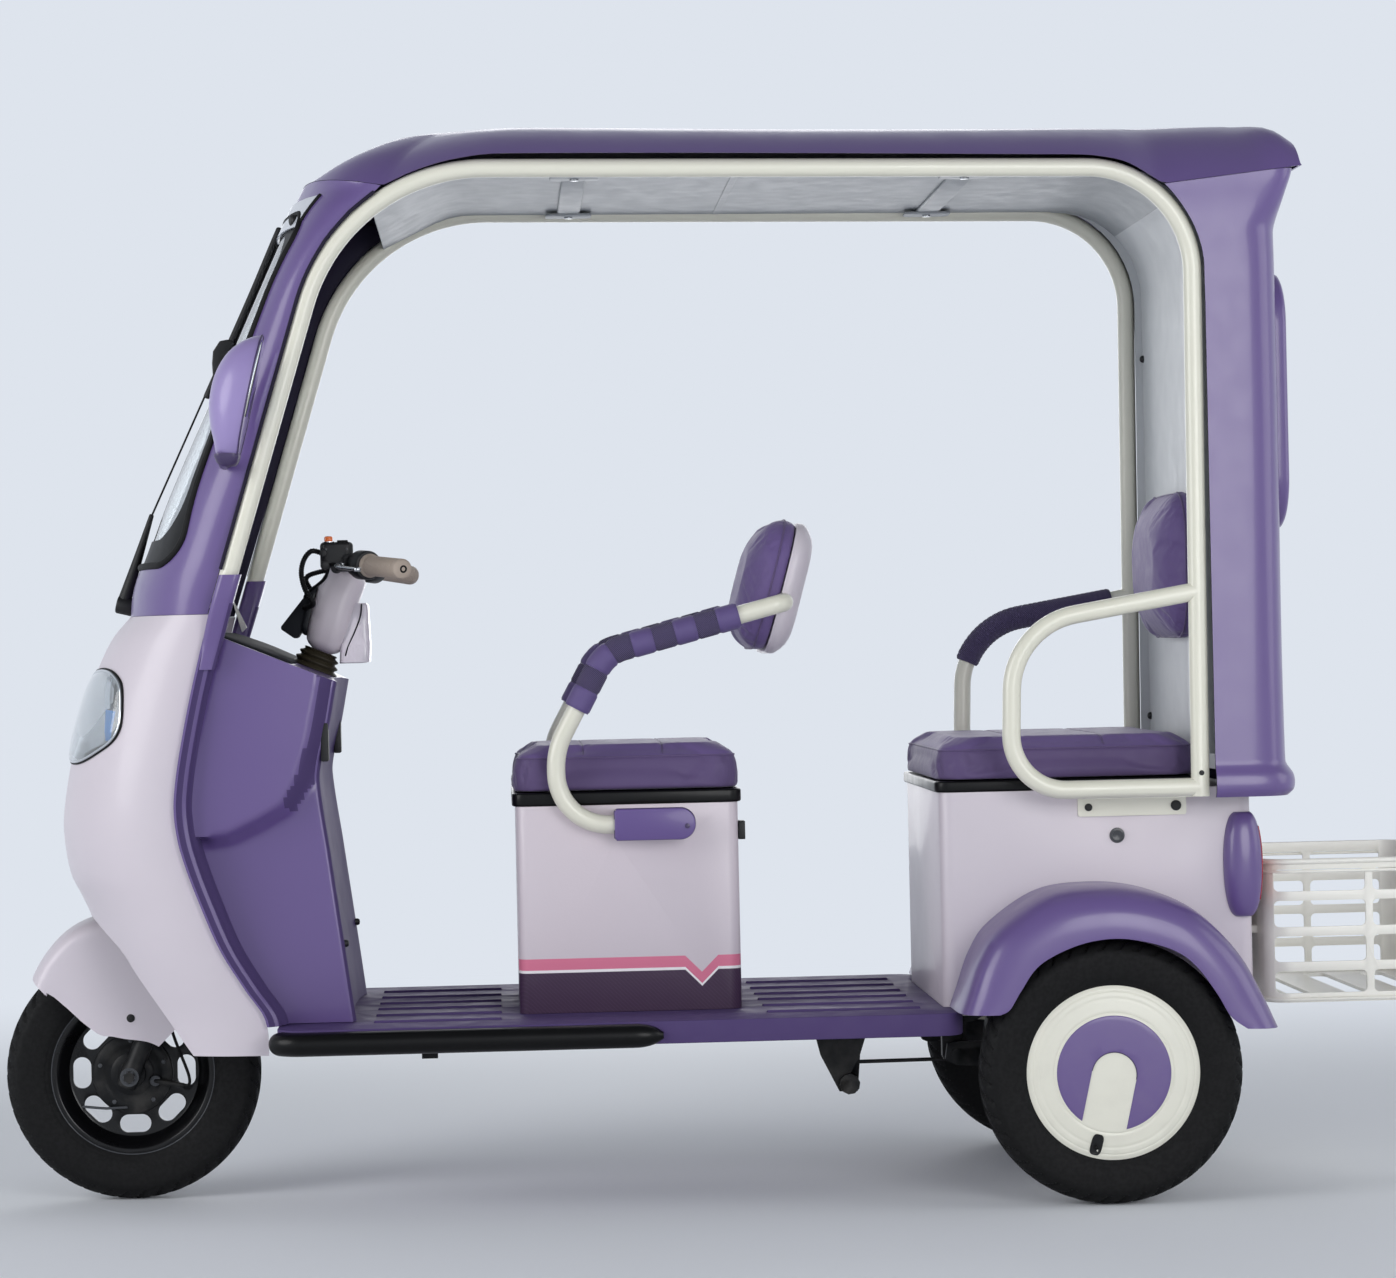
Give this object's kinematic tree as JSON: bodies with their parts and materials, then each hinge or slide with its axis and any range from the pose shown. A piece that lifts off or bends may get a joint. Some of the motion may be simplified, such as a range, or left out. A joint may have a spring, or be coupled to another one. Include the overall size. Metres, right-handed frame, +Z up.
{
  "type": "electric tricycle",
  "caption": "Electric tricycle with a windscreen, a roof on two side hoops, a driver's seat, a passenger seat over a storage box and a rear basket.",
  "frame": {"origin": "centre of the object's outline on the ground, between the wheels", "axes": "+X towards the rear, +Y towards the rider's right, +Z up"},
  "size_m": [2.412, 0.988, 1.7579],
  "materials": {
    "purple_plastic": "gloss",
    "pale_plastic": "gloss",
    "cream_steel": "gloss",
    "cream_plastic": "satin",
    "black_steel": "satin",
    "black_plastic": "satin",
    "tyre_rubber": "matte",
    "black_rubber": "matte",
    "steel": "satin",
    "lamp_lens": "gloss",
    "window_pane": "gloss",
    "roof_lining": "matte",
    "seat_cover": "satin",
    "arm_sleeve": "satin",
    "grip_rubber": "matte",
    "orange_button": "gloss",
    "battery_case": "matte"
  },
  "bodies": {
    "tricycle_body": {"chassis_frame": "black_steel", "floorboard": "purple_plastic", "side_bumper_left": "black_plastic", "side_bumper_right": "black_plastic", "front_nose": "pale_plastic", "leg_shield": "purple_plastic", "headlamp_left": "lamp_lens", "headlamp_right": "lamp_lens", "windscreen_surround": "purple_plastic", "windscreen_glass": "window_pane", "roof_shell": "purple_plastic", "roof_liner": "roof_lining", "canopy_hoop_left": "cream_steel", "canopy_hoop_right": "cream_steel", "rear_panel": "purple_plastic", "rear_window": "window_pane", "rear_backrest_pad": "seat_cover", "rear_box": "pale_plastic", "rear_fender_left": "purple_plastic", "rear_fender_right": "purple_plastic", "tail_lamp_left": "purple_plastic", "tail_lamp_right": "purple_plastic", "rear_basket": "cream_plastic", "driver_seat_box": "pale_plastic", "driver_arm_frame": "cream_steel", "driver_armrest_sleeve_left": "arm_sleeve", "driver_armrest_sleeve_right": "arm_sleeve", "driver_backrest_pad": "seat_cover", "driver_backrest_shell": "black_plastic", "battery_pack": "battery_case", "steering_boot": "black_rubber", "rear_shock_left": "steel", "rear_shock_right": "steel"},
    "steering": {"fork_crown": "black_steel", "handlebar": "black_plastic", "stem_cover": "pale_plastic", "grip_left": "grip_rubber", "control_cables": "black_plastic"},
    "throttle": {"throttle_grip": "grip_rubber"},
    "lever_left": {"brake_lever_left": "steel"},
    "lever_right": {"brake_lever_right": "steel"},
    "horn": {"horn_button": "orange_button"},
    "fork": {"fork_slider_left": "black_steel", "fork_slider_right": "black_steel", "front_fender": "pale_plastic", "front_axle": "black_steel"},
    "front_wheel": {"front_tyre": "tyre_rubber", "front_rim": "black_steel"},
    "rear_suspension": {"rear_axle_housing": "black_steel"},
    "rear_wheel_carrier_left": {"rear_tyre_left": "tyre_rubber", "rear_wheel_left": "cream_steel"},
    "rear_wheel_carrier_right": {"rear_tyre_right": "tyre_rubber", "rear_wheel_right": "cream_steel"},
    "driver_lid": {"driver_seat_cushion": "seat_cover", "driver_seat_pan": "black_plastic"},
    "rear_lid": {"rear_seat_cushion": "seat_cover", "rear_seat_pan": "black_plastic"},
    "mirror_carrier_left": {"mirror_left": "purple_plastic"},
    "mirror_carrier_right": {"mirror_right": "purple_plastic"},
    "wiper": {"wiper_arm": "black_plastic"}
  },
  "joints": [
    {"name": "steering_turn", "type": "hinge", "parent": "tricycle_body", "child": "steering", "pos_m": [-0.678, 0, 0.885], "axis": [0.3827, 0, 0.9239], "range_deg": [-32, 32]},
    {"name": "fork_compression", "type": "slide", "parent": "steering", "child": "fork", "axis": [0.3827, 0, 0.9239], "range_m": [0, 0.03], "stiffness_N_per_m": 15000, "springref_m": -0.04},
    {"name": "front_wheel_spin", "type": "hinge", "parent": "fork", "child": "front_wheel", "pos_m": [-0.995, 0, 0.211], "axis": [0, 1, 0], "continuous": true},
    {"name": "rear_suspension_swing", "type": "hinge", "parent": "tricycle_body", "child": "rear_suspension", "pos_m": [0.36, 0, 0.226], "axis": [0, -1, 0], "range_deg": [0, 6.5], "stiffness_Nm_per_rad": 3000, "springref_deg": -6.88, "deforming": ["rear_shock_left", "rear_shock_right"]},
    {"name": "rear_wheel_spin_left", "type": "hinge", "parent": "rear_suspension", "child": "rear_wheel_carrier_left", "pos_m": [0.585, -0.385, 0.211], "axis": [0, 1, 0], "continuous": true},
    {"name": "rear_wheel_spin_right", "type": "hinge", "parent": "rear_suspension", "child": "rear_wheel_carrier_right", "pos_m": [0.585, 0.385, 0.211], "axis": [0, 1, 0], "continuous": true},
    {"name": "brake_lever_left_pull", "type": "hinge", "parent": "steering", "child": "lever_left", "pos_m": [-0.6262, -0.168, 1.0445], "axis": [0, 0, 1], "range_deg": [0, 12], "stiffness_Nm_per_rad": 1.5, "springref_deg": -5.73},
    {"name": "brake_lever_right_pull", "type": "hinge", "parent": "steering", "child": "lever_right", "pos_m": [-0.6262, 0.168, 1.0445], "axis": [0, 0, -1], "range_deg": [0, 12], "stiffness_Nm_per_rad": 1.5, "springref_deg": -5.73},
    {"name": "throttle_twist", "type": "hinge", "parent": "steering", "child": "throttle", "pos_m": [-0.5245, 0.29, 1.0345], "axis": [0.4673, 0.8812, -0.0721], "range_deg": [0, 70], "stiffness_Nm_per_rad": 0.5, "springref_deg": -11.46},
    {"name": "horn_button_press", "type": "slide", "parent": "steering", "child": "horn", "axis": [0, 0, -1], "range_m": [0, 0.003], "stiffness_N_per_m": 800, "springref_m": -0.001},
    {"name": "driver_seat_lid", "type": "hinge", "parent": "tricycle_body", "child": "driver_lid", "pos_m": [-0.359, 0, 0.645], "axis": [0, -1, 0], "range_deg": [0, 70]},
    {"name": "rear_seat_lid", "type": "hinge", "parent": "tricycle_body", "child": "rear_lid", "pos_m": [0.327, 0, 0.654], "axis": [0, -1, 0], "range_deg": [0, 65]},
    {"name": "mirror_left_turn", "type": "hinge", "parent": "tricycle_body", "child": "mirror_carrier_left", "pos_m": [-0.7993, -0.3373, 1.205], "axis": [0, 0, 1], "range_deg": [-10, 10]},
    {"name": "mirror_right_turn", "type": "hinge", "parent": "tricycle_body", "child": "mirror_carrier_right", "pos_m": [-0.7993, 0.3373, 1.205], "axis": [0, 0, 1], "range_deg": [-10, 10]},
    {"name": "wiper_sweep", "type": "hinge", "parent": "tricycle_body", "child": "wiper", "pos_m": [-0.994, 0, 0.988], "axis": [-0.9707, 0, 0.2402], "range_deg": [-26, 26]}
  ]
}
